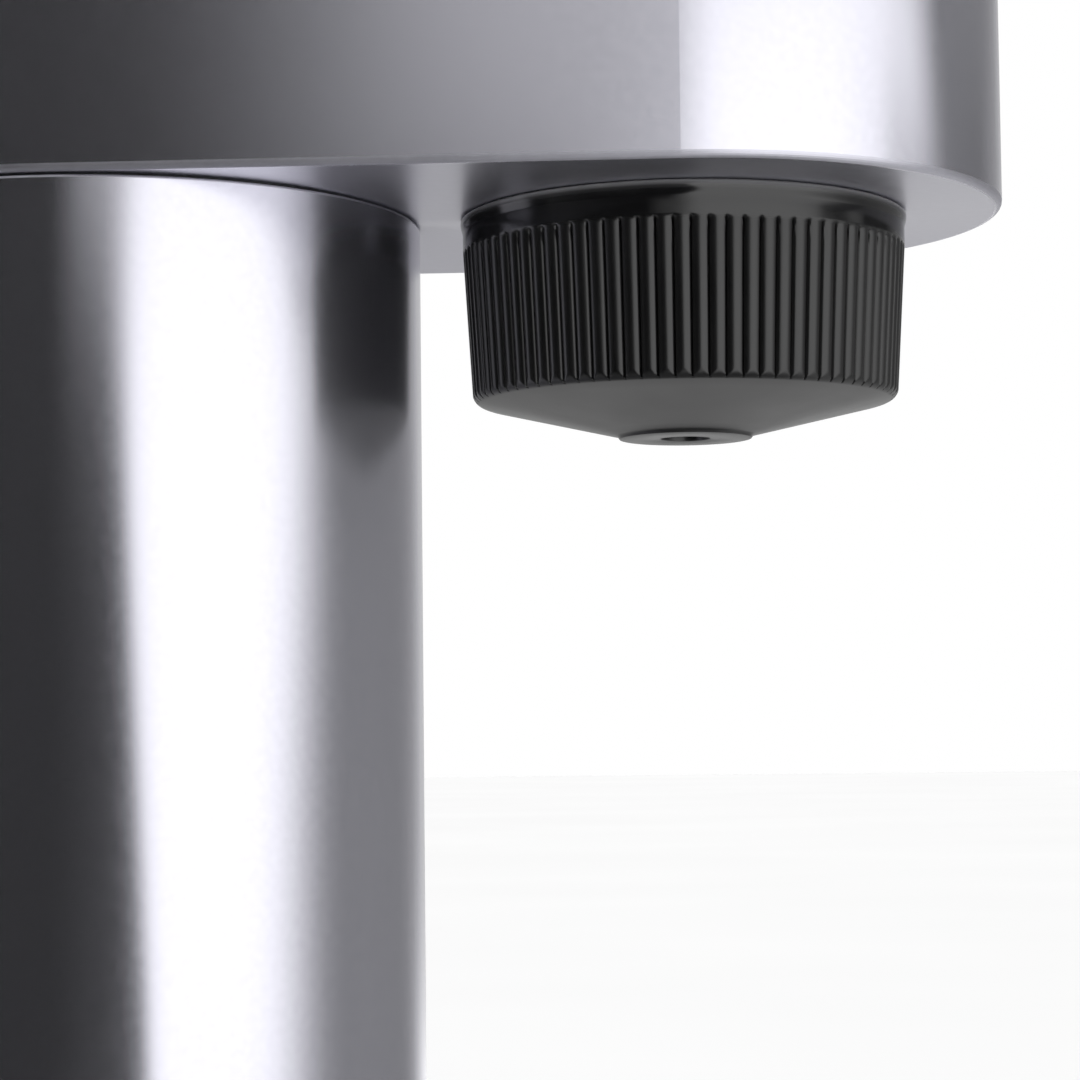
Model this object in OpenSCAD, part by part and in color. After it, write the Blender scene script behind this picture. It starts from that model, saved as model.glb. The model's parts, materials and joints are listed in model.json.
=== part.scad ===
// Portable espresso maker: an upright column, an arm across its top and a screw-on brewing cap.
// Millimetres. Z is up and the arm runs along X. The origin is on the column axis, on the table.

/* [Overall] */
// Height of the arm's flat underside above the table
under_z = 172; // [165:1:195]
// Distance from the column axis to the brewing axis
reach = 81.25; // [78:0.25:105]
// Outer diameter of the column
column_d = 87.8; // [82:0.2:94]
// How far the arm's side stands out beyond the column
arm_overhang = 0.6; // [0.3:0.05:3]
// Height of the arm with its cover
arm_h = 32; // [30:0.5:42]

/* [Shells] */
// Wall of the column tube
column_wall = 1.8; // [1.2:0.1:2]
// Radius at both ends of the column tube
column_round = 0.4; // [0.2:0.1:0.8]
// Side wall of the arm
arm_wall = 2; // [1.4:0.1:2.4]
// Floor of the arm, which is its visible underside
arm_floor = 3.5; // [3:0.1:4.2]
// Radius round the arm's underside
arm_round = 1; // [0.3:0.1:1.2]
// Thickness of the arm's top cover
cover_t = 3.6; // [3.4:0.1:4.4]
// Radius round the top cover
cover_round = 1.2; // [0.4:0.1:1.6]
// Depth of the skirt that locates the cover inside the arm wall
skirt_h = 4; // [2:0.5:6]
// Thickness of that skirt
skirt_t = 1.6; // [1:0.1:2]
// Gap between parts that slip into each other
slip = 0.15; // [0.05:0.01:0.2]

/* [Neck] */
// Height of the dark gap between column and arm
gap_h = 0.3; // [0.2:0.1:2]
// How far the neck ring is set back behind the column face
neck_inset = 1.1; // [0.6:0.1:1.6]
// Depth of the neck ring inside the column
neck_h = 7; // [6:0.5:10]

/* [Base] */
// How far the rubber pad is set back behind the column face
pad_inset = 4.7; // [4:0.1:8]
// Thickness of the rubber pad
pad_t = 2; // [1.6:0.1:3]
// How deep the pad sits in the base plate
pad_recess = 0.8; // [0.4:0.1:1.2]
// Height of the plinth under the column
plinth_h = 2.8; // [2.4:0.1:5]
// How far the plinth is set back behind the column face
plinth_inset = 1.3; // [0.8:0.1:1.6]
// Depth of the base plate inside the column
base_spigot_h = 5; // [3:0.5:6]

/* [Tank lid] */
// How far the lid's edge lies outside the tank
lid_lap = 1; // [0.5:0.1:1.4]
// Thickness of the lid
lid_t = 2.2; // [1.8:0.1:2.4]
// Gap round the lid
lid_gap = 0.4; // [0.35:0.05:0.6]
// Width of the rim between the tank's outside and the filling mouth
mouth_rim = 2.5; // [2.2:0.1:4]
// Width of the hinge knuckle
hinge_w = 16; // [10:0.5:20]
// Diameter of the hinge pin
hinge_pin_d = 2; // [1.6:0.1:2.2]
// Diameter of the hinge knuckle
knuckle_d = 3.8; // [3.4:0.1:4]
// Running clearance on the hinge pin
pin_clear = 0.05; // [0.02:0.01:0.1]
// Diameter of the finger scallop in front of the lid
scallop_d = 16; // [12:0.5:20]
// Height of the seal under the lid
seal_h = 3; // [2:0.1:4]

/* [Button] */
// Diameter of the power button
button_d = 18; // [14:0.5:20]
// How far the button stands above the cover
button_proud = 0.2; // [0:0.1:1]
// Gap round the button
button_gap = 0.35; // [0.3:0.05:0.5]
// Travel of the button
button_travel = 0.8; // [0.4:0.1:1]
// Width of the light ring
light_w = 1.4; // [1:0.1:2]
// Depth of the light ring in the cover
light_depth = 2; // [1:0.1:2.2]

/* [Brewing cap] */
// Diameter of the cap at its smooth band
cap_d = 62; // [56:0.5:68]
// How far the ribbed wall draws in down to its foot
cap_taper = 1.2; // [0.8:0.1:1.6]
// Wall of the cap round its thread
cap_wall = 2.6; // [2.4:0.1:3]
// Gap between the cap and the arm's underside
cap_gap = 0.1; // [0.1:0.05:1]
// Height of the smooth band, with the bead on its top rim
band_h = 4.5; // [3:0.1:6]
// Height of the ribbed wall under the band
rib_h = 19.9; // [18:0.1:26]
// Number of ribs round the cap
rib_count = 82; // [60:1:90]
// Width of the grooves between the ribs
groove_w = 1; // [0.6:0.1:1.3]
// Depth of the grooves between the ribs
groove_depth = 0.8; // [0.4:0.1:1]
// Radius round the cap's foot
foot_round = 1.6; // [1:0.1:2]
// How far the bead on the cap's top rim stands out
bead_w = 0.3; // [0.2:0.05:0.5]
// Height of that bead
bead_h = 1.2; // [1:0.1:1.6]
// Edge break on the bead
bead_chamfer = 0.4; // [0.2:0.1:0.5]
// Drop of the conical bottom from foot to outlet
cone_drop = 4.55; // [4:0.05:6]
// Diameter of the flat boss round the outlet
nozzle_d = 19; // [14:0.2:22]
// Height of that boss
nozzle_h = 0.5; // [0.4:0.1:1.5]
// Diameter of the outlet hole
outlet_d = 6.8; // [6:0.1:9]
// Thickness of the cap's bottom
cap_bottom = 2.6; // [2:0.1:3]

/* [Brewing group] */
// Clearance between collar thread and cap
thread_clear = 0.4; // [0.32:0.02:0.45]
// Wall of the collar
collar_wall = 1.4; // [1.2:0.1:1.6]
// Length of thread under the arm
thread_l = 8.2; // [7.5:0.1:9]
// Wall of the cap round the basket, at its foot
well_wall = 3.3; // [3:0.1:4]
// Gap between the basket and the cap
basket_gap = 1.5; // [1:0.1:2]
// Room between the basket's floor and the well of the cap
basket_room = 2.4; // [1.5:0.1:4]
// Sheet thickness of the basket
basket_t = 0.6; // [0.4:0.05:0.8]
// Thickness of the basket rim
basket_rim_t = 0.8; // [0.6:0.1:1.2]
// Width of the group gasket
gasket_w = 3.8; // [3:0.1:4.6]
// Height of the group gasket
gasket_h = 3.4; // [2.6:0.1:4]
// Thickness of collar flange and group flange, each
flange_t = 3; // [2.5:0.1:4]
// How far the two flanges stand out beyond the collar
flange_w = 5; // [4.8:0.1:6]

/* [Water] */
// Room between the tank and the column wall, for the pillars and the hose
tank_room = 9.1; // [8.2:0.1:11]
// Height of the deck that carries the tank
deck_z1 = 121.4; // [114:0.2:128]
// Wall of the tank
tank_wall = 1.2; // [0.8:0.1:1.6]
// Thickness of the gasket on the tank rim
tank_gasket_t = 2; // [1.5:0.1:3]
// Thickness of the heater plate
heater_t = 4; // [3:0.5:6]
// Height of the heater standoffs
standoff_h = 3; // [2.8:0.1:5]
// Outer diameter of the hoses
hose_d = 6.4; // [5.6:0.1:6.5]
// Bore of the hoses
hose_bore = 4.5; // [3.6:0.1:4.6]
// Bend radius of the hoses
hose_bend = 7; // [6:0.5:8]
// Angle of the rising hose round the column axis
riser_a = 32; // [30:1:34]

/* [Pump] */
// Gap between the pump coil and the column wall
pump_room = 1.9; // [1.5:0.1:3]
// Diameter of the coil housing
coil_d = 28; // [24:0.5:30]
// Length of the coil housing
coil_l = 30; // [26:0.5:31]
// Diameter of the pump barrel
barrel_d = 13; // [12:0.1:14]
// Diameter of the plunger
plunger_d = 9; // [7:0.1:9.6]
// Running clearance of the plunger
plunger_clear = 0.05; // [0.02:0.01:0.09]
// Length of the plunger
plunger_l = 20; // [14:0.5:22]
// Wire of the return spring
spring_wire = 0.9; // [0.6:0.05:1.1]
// Turns of the return spring
spring_turns = 7; // [5:1:8]

/* [Electrics] */
// Diameter of a battery cell
cell_d = 21.2; // [18.2:0.1:22.4]
// Length of a battery cell
cell_l = 70.2; // [60:0.2:71]
// Gap between neighbouring cells
cell_gap = 0.8; // [0.6:0.1:1.6]
// Thickness of the circuit boards
board_t = 1.6; // [1:0.1:1.6]
// Height of the main board
board_h = 86; // [60:1:90]
// Height of the charging socket above the table
port_z = 24; // [22:0.5:40]
// Width of the charging socket
port_w = 9.4; // [9:0.1:10]
// Height of the charging socket
port_h = 3.6; // [3.2:0.1:4]

/* [Fasteners] */
// Diameter of the screw shanks
screw_d = 3; // [2.4:0.1:3]
// Diameter of the screw heads
head_d = 5.4; // [4.6:0.1:5.6]
// Height of the screw heads
head_h = 2; // [1.4:0.1:2.4]

/* [Hidden] */
$fn = 96;
// Cutters run this far past the faces they cut
over = 1;
// Pieces of one solid sink this far into each other
bite = 0.5;
// Room left round things that must not touch
air = 0.5;
// Flats that a rounded edge is made of
edge_steps = 6;

column_r = column_d / 2;
column_in = column_r - column_wall;
arm_r = column_r + arm_overhang;
arm_in = arm_r - arm_wall;
top_z = under_z + arm_h;
cover_z = top_z - cover_t;
floor_z = under_z + arm_floor;

plate_z = pad_t - pad_recess;
column_z0 = plate_z + plinth_h;
column_z1 = under_z - gap_h;
inner_r = column_in - slip;
base_top = column_z0 + base_spigot_h;

chassis_t = 3;
chassis_z = base_top + chassis_t;
chassis_r = inner_r - slip;
neck_z = column_z1 - neck_h;

tank_r = column_in - tank_room;
tank_clear = 0.4;
tank_z1 = cover_z - tank_gasket_t;
heater_z0 = deck_z1 + standoff_h;
tank_z0 = heater_z0 + heater_t;
deck_z0 = deck_z1 - chassis_t;
neck_in = tank_r + tank_clear;
ring_r = (tank_r + column_in) / 2;
pillar_d = 6;
post_d = 1.31 * head_d;
corner_angles = [45, 135, 225, 315];
post_angles = [60, 120, 240, 300];
pillar_thread = 12;
post_thread = 13;
head_recess = 4;
drill_tip = 0.5;

pad_r = column_r - pad_inset;
base_screw_r = column_in - 12;
base_thread = 2.2;

hose_r = hose_d / 2;
nipple_clear = 0.05;
nipple_r = hose_bore / 2 - nipple_clear;
nipple_l = 8;
nipple_bore = 2.4;
hose_free = 6;
spigot_drop = 8;
standoff_r = 3;
thermostat_r = 7;
riser_x = ring_r * cos(riser_a);
riser_y = ring_r * sin(riser_a);

coil_r = coil_d / 2;
pump_x = column_in - coil_r - pump_room;
spine_gap = 5;
spine_t = 3;
spine_x0 = pump_x - coil_r - spine_gap - spine_t;
spine_w = 2 * chassis_r - 11;
barrel_share = 0.64;
barrel_z1 = deck_z0 - spigot_drop - hose_free - nipple_l;
barrel_z0 = barrel_z1 - barrel_share * (barrel_z1 - chassis_z);
barrel_end = 6;
barrel_r = barrel_d / 2;
bore_r = plunger_d / 2 + plunger_clear;
bore_z0 = barrel_z0 + barrel_end;
bore_z1 = barrel_z1 - barrel_end;
bracket_t = 3;
bracket_w = 24;
bracket_past = 10;
bracket_lip = 1;
grip_t = 2;
grip_wall = 2.5;
grip_lip = 2;
grip_r = barrel_r + grip_wall;
coil_z0 = (barrel_z0 + barrel_z1 - coil_l) / 2;
coil_z1 = coil_z0 + coil_l;
coil_edge = 1.5;
seat_h = 2;
seat_w = 1.2;
plunger_z0 = bore_z0 + seat_h;
plunger_z1 = plunger_z0 + plunger_l;

valve_rise = 18;
valve_l = 14;
valve_r = 3.8;
valve_z = barrel_z0 + valve_rise;
hose_dip = 2;
hose_low = barrel_z0 - nipple_l - hose_dip;
hose_span = norm([riser_x - pump_x, riser_y]);
hose_turn_a = atan2(riser_y, riser_x - pump_x);

cell_wall = 1.4;
cell_edge = 0.6;
cell_tip = 1;
cell_pitch = cell_d + cell_gap;
cell_room = cell_d / 2 + cell_wall;
cell_x = spine_x0 - cell_room;
holder_t = 3;
holder_h = 8;
cell_z0 = chassis_z + holder_t;
cell_z1 = cell_z0 + cell_l;

board_w = 0.8 * column_in;
board_x = 8.3 - column_in;
chip_h = 3;
rail_t = 2.2;
rail_grip = 1.4;
port_x0 = board_x - board_t;
port_inset = 0.5;
port_x1 = port_inset - column_r;
port_wall = 0.35;
tongue_t = 0.7;
bezel_rim = 1.5;
bezel_back = 3;
bezel_w = port_w + 2 * bezel_rim;
bezel_h = port_h + 2 * bezel_rim;

cap_r = cap_d / 2;
foot_r = cap_r - cap_taper;
band_z = -cap_gap - band_h;
foot_z = band_z - rib_h;
arc_end = 75;
cone_r = foot_r - foot_round * (1 - cos(arc_end));
cone_z = foot_z - foot_round * sin(arc_end);
nozzle_r = nozzle_d / 2;
nozzle_z0 = cone_z - cone_drop;
nozzle_z1 = nozzle_z0 - nozzle_h;
outlet_r = outlet_d / 2;

thread_r = cap_r - cap_wall;
collar_r = thread_r - thread_clear;
collar_in = collar_r - collar_wall;
flange_r = collar_r + flange_w;
collar_screw_r = collar_r + 0.44 * flange_w;
collar_thread = 2.5;
rim_z = -thread_l - thread_clear;
shoulder_z = rim_z - basket_rim_t;
rim_r = thread_r - air;
cap_bore = foot_r - well_wall;
basket_out = cap_bore - basket_gap;
basket_r = basket_out - basket_t;
well_z0 = cone_z + cap_bottom - 0.5;
well_z1 = nozzle_z0 + cap_bottom - 1;
basket_z0 = well_z0 + basket_room;
basket_hole = 0.6;
gasket_in = collar_in - slip - gasket_w;
gasket_z1 = rim_z + gasket_h;
boss_r = gasket_in - 0.2;
boss_z = gasket_z1 - 1.8;
groove_in = 5;
groove_edge = 2.4;
group_top = arm_floor + 2 * flange_t;
feed_r = 1.5;
fit_off = 14.5;
fit_d = 9;
fit_h = 8.5;
fit_z = group_top + 5.5;
fit_a = atan2(riser_y, riser_x - reach);
fit_run = norm([riser_x - reach, riser_y]) - fit_off;
screen_r = gasket_in - 0.4;
screen_t = 1;
screen_hole = 0.7;
screen_pitch = screen_r / 5.6;
stud_r = 1.55;
stud_clear = 0.05;
stud_head_r = 3.5;
stud_head_h = 1;

lid_r = tank_r + lid_lap;
lid_z = top_z - lid_t;
lid_edge = 0.4;
mouth_r = tank_r - mouth_rim;
knuckle_r = knuckle_d / 2;
hinge_x = -lid_r - knuckle_r - 0.7;
hinge_z = top_z - knuckle_r;
pocket_back = hinge_x - knuckle_r - 1;
pocket_wall = 1.4;
pocket_floor = 1.8;
ear_w = 4.6;
ear_wall = 1;
pin_press = 0.02;
pin_end = 0.2;
seal_r = mouth_r - air;
seal_w = 3;
scallop_off = 3;

button_r = button_d / 2;
button_flange = 1.4;
button_flange_t = 1.2;
button_edge = 0.5;
flange_z1 = cover_z - 0.4;
flange_z0 = flange_z1 - button_flange_t;
stem_r = 2;
stem_z = flange_z0 - 1;
switch_w = 6;
switch_h = 3.5;
switch_r = 1.6;
switch_clear = 0.35;
switch_floor = 0.5;
switch_z = stem_z - button_travel - 0.3;
small_board_z = switch_z - switch_h;
small_board_w = 16;
small_board_l = 40;
board_post = 14;
board_thread = 5.5;
light_r = button_r + 2.2;

// Points of a rounded edge of radius c about a centre, from angle a0 over a quarter turn
function edge_arc(x, z, c, a0) = [for (i = [0:edge_steps])
    [x + c * cos(a0 + i * 90 / edge_steps), z + c * sin(a0 + i * 90 / edge_steps)]];

// Outer edge of a slab from its bottom to its top, rounded where it is asked for
function slab_edge(r, z0, z1, c0, c1) = concat(
    c0 > 0 ? edge_arc(r - c0, z0 + c0, c0, -90) : [[r, z0]],
    c1 > 0 ? edge_arc(r - c1, z1 - c1, c1, 0) : [[r, z1]]);

// The same edge, seen from the other side
function mirrored(edge) = [for (i = [len(edge) - 1:-1:0]) [-edge[i][0], edge[i][1]]];

// Slab with two round ends, l apart, along X
module stadium(r, l, z0, z1, c0 = 0, c1 = 0) {
    edge = slab_edge(r, z0, z1, c0, c1);
    half = concat([[0, z0]], edge, [[0, z1]]);
    rotate([0, 0, 90])
        rotate_extrude(angle = 180)
            polygon(half);
    translate([l, 0, 0])
        rotate([0, 0, -90])
            rotate_extrude(angle = 180)
                polygon(half);
    rotate([90, 0, 90])
        linear_extrude(height = l)
            polygon(concat(edge, mirrored(edge)));
}

// Bar along X with round sides, w wide along Y and h high
module slot_bar(w, h, x0, x1) {
    rotate([90, 0, 90])
        translate([(h - w) / 2, 0, 0])
            stadium(h / 2, w - h, x0, x1);
}

// Round disc or tube between two heights
module disc(r, z0, z1, hole = 0) {
    difference() {
        translate([0, 0, z0])
            cylinder(r = r, h = z1 - z0);
        if (hole > 0)
            translate([0, 0, z0 - over])
                cylinder(r = hole, h = z1 - z0 + 2 * over);
    }
}

// Turned disc with rounded edges
module turned(r, z0, z1, c0, c1) {
    rotate_extrude()
        polygon(concat([[0, z0]], slab_edge(r, z0, z1, c0, c1), [[0, z1]]));
}

// Copies of what is given, set on a circle
module around(r, angles) {
    for (a = angles)
        rotate([0, 0, a])
            translate([r, 0, 0])
                children();
}

// Cap screw with its head's underside at z 0 and its shank downward
module screw(l) {
    difference() {
        union() {
            disc(screw_d / 2, -l, bite);
            disc(head_d / 2, 0, head_h);
        }
        translate([0, 0, head_h - head_h / 2])
            cylinder(d = head_d / 2, h = head_h, $fn = 6);
    }
}

// Straight piece of hose along Z, and what follows it
module hose_run(l) {
    disc(hose_r, 0, l, hose_bore / 2);
    translate([0, 0, l])
        children();
}

// Quarter turn of hose from Z toward X, and what follows it
module hose_turn() {
    translate([hose_bend, 0, 0])
        rotate([90, 0, 180])
            rotate_extrude(angle = 90)
                translate([hose_bend, 0])
                    difference() {
                        circle(r = hose_r);
                        circle(d = hose_bore);
                    }
    translate([hose_bend, 0, hose_bend])
        rotate([0, 90, 0])
            children();
}

module at_brew() {
    translate([reach, 0, under_z])
        children();
}

module at_riser() {
    translate([riser_x, riser_y, 0])
        children();
}

// Arm tray: side wall and the flat underside
module arm_shell() {
    color("silver")
        difference() {
            stadium(arm_r, reach, under_z, cover_z, arm_round, 0);
            stadium(arm_in, reach, floor_z, cover_z + over);
            disc(neck_in, under_z - over, floor_z + over);
            at_brew()
                disc(collar_r + slip, -over, arm_floor + over);
            at_brew()
                around(collar_screw_r, corner_angles)
                    disc(screw_d / 2, arm_floor - collar_thread - slip, arm_floor + over);
            around(ring_r, concat(corner_angles, post_angles))
                disc(screw_d / 2 + slip, under_z - over, floor_z + over);
            at_riser()
                disc(hose_r + slip, under_z - over, floor_z + over);
        }
}

// Arm cover with the lid's seat, its hinge pocket, the button hole and the light groove
module arm_top_cover() {
    skirt_r = arm_in - slip;
    ear_l = hinge_x + knuckle_r + air + pocket_wall - pocket_back;
    ear_h = knuckle_r + pocket_floor;
    pocket_l = hinge_x + knuckle_r + lid_gap - pocket_back;
    pin_hole_l = hinge_w / 2 + ear_w - ear_wall;
    color("silver")
        difference() {
            union() {
                stadium(arm_r, reach, cover_z, top_z, 0, cover_round);
                difference() {
                    stadium(skirt_r, reach, cover_z - skirt_h, cover_z + bite);
                    stadium(skirt_r - skirt_t, reach, cover_z - skirt_h - over, cover_z + over);
                }
                around(ring_r, post_angles)
                    disc(post_d / 2, floor_z, cover_z + bite);
                translate([reach, 0, 0])
                    around(board_post, [90, 270])
                        disc(post_d / 2, small_board_z, cover_z + bite);
                translate([pocket_back - pocket_wall, -hinge_w / 2 - ear_w, hinge_z - ear_h])
                    cube([ear_l, hinge_w + 2 * ear_w, ear_h]);
            }
            disc(mouth_r, cover_z - over, top_z + over);
            disc(lid_r + lid_gap, lid_z, top_z + over);
            translate([lid_r + scallop_off, 0, 0])
                disc(scallop_d / 2, lid_z, top_z + over);
            translate([pocket_back, -hinge_w / 2 - lid_gap, hinge_z - knuckle_r - lid_gap])
                cube([pocket_l, hinge_w + 2 * lid_gap, knuckle_d + over]);
            translate([pocket_back, -hinge_w / 2 - lid_gap, lid_z])
                cube([lid_r / 4, hinge_w + 2 * lid_gap, lid_t + over]);
            translate([hinge_x, 0, hinge_z])
                rotate([90, 0, 0])
                    disc(hinge_pin_d / 2 + pin_press, -pin_hole_l, pin_hole_l);
            translate([reach, 0, 0])
                disc(button_r + button_gap, cover_z - over, top_z + over);
            translate([reach, 0, 0])
                disc(light_r + light_w + slip / 2, top_z - light_depth, top_z + over, light_r - slip / 2);
            around(ring_r, post_angles)
                disc(screw_d / 2, floor_z - over, floor_z + post_thread + drill_tip);
            translate([reach, 0, 0])
                around(board_post, [90, 270])
                    disc(screw_d / 2, small_board_z - over, small_board_z + board_thread + drill_tip);
        }
}

// Column tube with the cut-out for the charging socket
module column_shell() {
    color("silver")
        difference() {
            turned(column_r, column_z0, column_z1, column_round, column_round);
            disc(column_in, column_z0 - over, column_z1 + over);
            translate([0, 0, port_z])
                slot_bar(bezel_w + slip, bezel_h + slip, -column_r - over, -column_in / 2);
        }
}

// Black ring that makes the shadow gap and joins column and arm
module neck_ring() {
    color("dimgray")
        difference() {
            union() {
                disc(column_r - neck_inset, column_z1, under_z);
                disc(inner_r, neck_z, under_z);
            }
            disc(neck_in, neck_z - over, under_z + over);
            around(ring_r, concat(corner_angles, post_angles))
                disc(screw_d / 2 + slip, neck_z - over, under_z + over);
            around(ring_r, post_angles)
                disc(head_d / 2 + slip, neck_z - over, neck_z + head_recess);
            at_riser()
                disc(hose_r + slip, neck_z - over, under_z + over);
        }
}

// Plinth that closes the column below
module base_plate() {
    color("dimgray")
        difference() {
            union() {
                disc(column_r - plinth_inset, plate_z, column_z0);
                disc(inner_r, column_z0 - bite, base_top);
            }
            disc(pad_r + slip, plate_z - over, pad_t);
            around(base_screw_r, corner_angles) {
                disc(screw_d / 2 + slip, 0, base_top + over);
                disc(head_d / 2 + slip, 0, pad_t + head_h + air);
            }
        }
}

// Rubber pad that it stands on
module base_pad() {
    color("black")
        turned(pad_r, 0, pad_t, pad_recess / 2, 0);
}

// Lid over the filling mouth, with its hinge knuckle
module tank_lid() {
    color("silver")
        difference() {
            union() {
                turned(lid_r, lid_z, top_z, 0, lid_edge);
                translate([hinge_x, -hinge_w / 2, lid_z])
                    cube([lid_r / 4, hinge_w, lid_t - lid_edge]);
                translate([hinge_x, 0, hinge_z])
                    rotate([90, 0, 0])
                        disc(knuckle_r, -hinge_w / 2, hinge_w / 2);
            }
            translate([hinge_x, 0, hinge_z])
                rotate([90, 0, 0])
                    disc(hinge_pin_d / 2 + pin_clear, -hinge_w / 2 - over, hinge_w / 2 + over);
        }
}

// Soft ring under the lid that plugs the mouth
module lid_seal() {
    color("dimgray")
        disc(seal_r, lid_z - seal_h, lid_z, seal_r - seal_w);
}

// Steel pin of the lid hinge
module lid_hinge_pin() {
    pin_l = hinge_w / 2 + ear_w - ear_wall - pin_end;
    color("gray")
        translate([hinge_x, 0, hinge_z])
            rotate([90, 0, 0])
                disc(hinge_pin_d / 2, -pin_l, pin_l);
}

// Button with its retaining flange and stem
module power_button() {
    color("silver")
        translate([reach, 0, 0]) {
            turned(button_r, flange_z1 - bite, top_z + button_proud, 0, button_edge);
            disc(button_r + button_flange, flange_z0, flange_z1);
            disc(stem_r, stem_z, flange_z0 + bite);
        }
}

// Moving top of the switch
module switch_plunger() {
    color("black")
        translate([reach, 0, 0])
            disc(switch_r, switch_z - button_travel - air, stem_z);
}

// Status light round the button
module light_ring() {
    color("white")
        translate([reach, 0, 0])
            disc(light_r + light_w, top_z - light_depth, top_z, light_r);
}

// Points of the round foot of the cap
function foot_arc() = [for (a = [0:15:arc_end])
    [foot_r - foot_round * (1 - cos(a)), foot_z - foot_round * sin(a)]];

// Ribbed screw cap with its shoulder for the basket, its well and its outlet
module portafilter_cap() {
    lean = atan((cap_r - foot_r) / rib_h);
    bead_r = cap_r + bead_w;
    outer = concat(
        [[thread_r, -cap_gap], [bead_r - bead_chamfer, -cap_gap], [bead_r, -cap_gap - bead_chamfer]],
        [[bead_r, bead_w - cap_gap - bead_h], [cap_r, -cap_gap - bead_h], [cap_r, band_z]],
        foot_arc(),
        [[nozzle_r, nozzle_z0], [nozzle_r - nozzle_h / 2, nozzle_z1]]);
    inner = [[outlet_r, nozzle_z1], [outlet_r, well_z1], [cap_bore, well_z0], [cap_bore, shoulder_z],
        [thread_r, shoulder_z]];
    color("black")
        at_brew()
            difference() {
                rotate_extrude()
                    polygon(concat(outer, inner));
                for (i = [0:rib_count - 1])
                    rotate([0, 0, i * 360 / rib_count])
                        translate([cap_r, 0, band_z])
                            rotate([0, lean, 0])
                                translate([-groove_depth, -groove_w / 2, -rib_h - 3 * foot_round])
                                    cube([groove_depth + over, groove_w, rib_h + 3 * foot_round]);
            }
}

// Pressed steel basket with a perforated floor
module filter_basket() {
    color("silver")
        at_brew()
            difference() {
                union() {
                    disc(rim_r, shoulder_z, rim_z);
                    disc(basket_out, basket_z0, rim_z);
                }
                disc(basket_r, basket_z0 + basket_t, rim_z + over);
                for (ring = [1:4])
                    around(ring * basket_r / 5, [for (i = [0:6 * ring - 1]) i * 60 / ring])
                        disc(basket_hole, basket_z0 - over, basket_z0 + over);
            }
}

// Collar that carries the thread under the arm
module group_collar() {
    color("dimgray")
        at_brew()
            difference() {
                union() {
                    disc(collar_r, -thread_l, arm_floor + bite);
                    disc(flange_r, arm_floor, arm_floor + flange_t);
                }
                disc(collar_in, -thread_l - over, arm_floor + flange_t + over);
                around(collar_screw_r, corner_angles)
                    disc(screw_d / 2 + slip, arm_floor - over, arm_floor + flange_t + over);
            }
}

// Block that spreads the hot water over the screen
module group_block() {
    color("silver")
        at_brew()
            difference() {
                union() {
                    disc(flange_r, arm_floor + flange_t, group_top);
                    disc(collar_in - slip, gasket_z1, arm_floor + flange_t + bite);
                    disc(boss_r, boss_z, gasket_z1 + bite);
                }
                disc(boss_r - groove_edge, boss_z - over, boss_z + screen_t, groove_in);
                disc(stud_r + stud_clear, boss_z - over, arm_floor);
                rotate([0, 0, fit_a])
                    translate([fit_off, 0, 0])
                        disc(feed_r, boss_z - over, group_top + over);
                around(collar_screw_r, corner_angles)
                    disc(screw_d / 2 + slip, arm_floor, group_top + over);
            }
}

// Ring that the basket rim seals against
module group_gasket() {
    color("dimgray")
        at_brew()
            disc(collar_in - slip, rim_z, gasket_z1, gasket_in);
}

// Perforated screen under the block
module shower_screen() {
    color("silver")
        at_brew()
            difference() {
                disc(screen_r, boss_z - screen_t, boss_z, stud_r + slip);
                for (ring = [1:3])
                    around((1 + ring) * screen_pitch, [for (i = [0:8 * ring - 1]) i * 45 / ring])
                        disc(screen_hole, boss_z - screen_t - over, boss_z + over);
            }
}

// Screw that holds the screen
module shower_screw() {
    color("silver")
        at_brew() {
            disc(stud_r, boss_z - screen_t - bite, arm_floor - over);
            disc(stud_head_r, boss_z - screen_t - stud_head_h, boss_z - screen_t);
        }
}

// Elbow where the hose enters the block
module group_fitting() {
    color("goldenrod")
        at_brew()
            rotate([0, 0, fit_a])
                translate([fit_off, 0, 0])
                    difference() {
                        union() {
                            disc(fit_d / 2, group_top, group_top + fit_h);
                            translate([0, 0, fit_z])
                                rotate([0, 90, 0])
                                    disc(nipple_r, 0, fit_d / 2 + nipple_l);
                        }
                        disc(feed_r, group_top - over, fit_z);
                        translate([0, 0, fit_z])
                            rotate([0, 90, 0])
                                disc(nipple_bore / 2, 0, fit_d / 2 + nipple_l + over);
                    }
}

// Steel tank with its outlet
module water_tank() {
    color("silver")
        difference() {
            union() {
                disc(tank_r, tank_z0, tank_z1);
                translate([pump_x, 0, 0])
                    disc(nipple_r, deck_z0 - spigot_drop, tank_z0 + bite);
            }
            disc(tank_r - tank_wall, tank_z0 + tank_wall, tank_z1 + over);
            translate([pump_x, 0, 0])
                disc(nipple_bore / 2, deck_z0 - spigot_drop - over, tank_z0 + tank_wall + over);
        }
}

// Ring between the tank rim and the cover
module tank_gasket() {
    color("dimgray")
        disc(tank_r, tank_z1, cover_z, tank_r - 1.5 * tank_wall);
}

// Heated plate under the tank
module heater_plate() {
    color("gray")
        difference() {
            disc(tank_r - tank_wall, heater_z0, tank_z0);
            translate([pump_x, 0, 0])
                disc(nipple_r + air, heater_z0 - over, tank_z0 + over);
        }
}

// Ceramic stands that keep the heat off the deck
module heater_standoffs() {
    color("white")
        around(tank_r * 2 / 3, [60, 180, 300])
            disc(standoff_r, deck_z1, heater_z0);
}

// Safety thermostat on the heater
module thermostat() {
    color("gray")
        disc(thermostat_r, heater_z0 + air - standoff_h, heater_z0);
}

// Short hose from the tank to the pump
module inlet_hose() {
    color("gray")
        translate([pump_x, 0, 0])
            disc(hose_r, barrel_z1, deck_z0 - air, hose_bore / 2);
}

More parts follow.
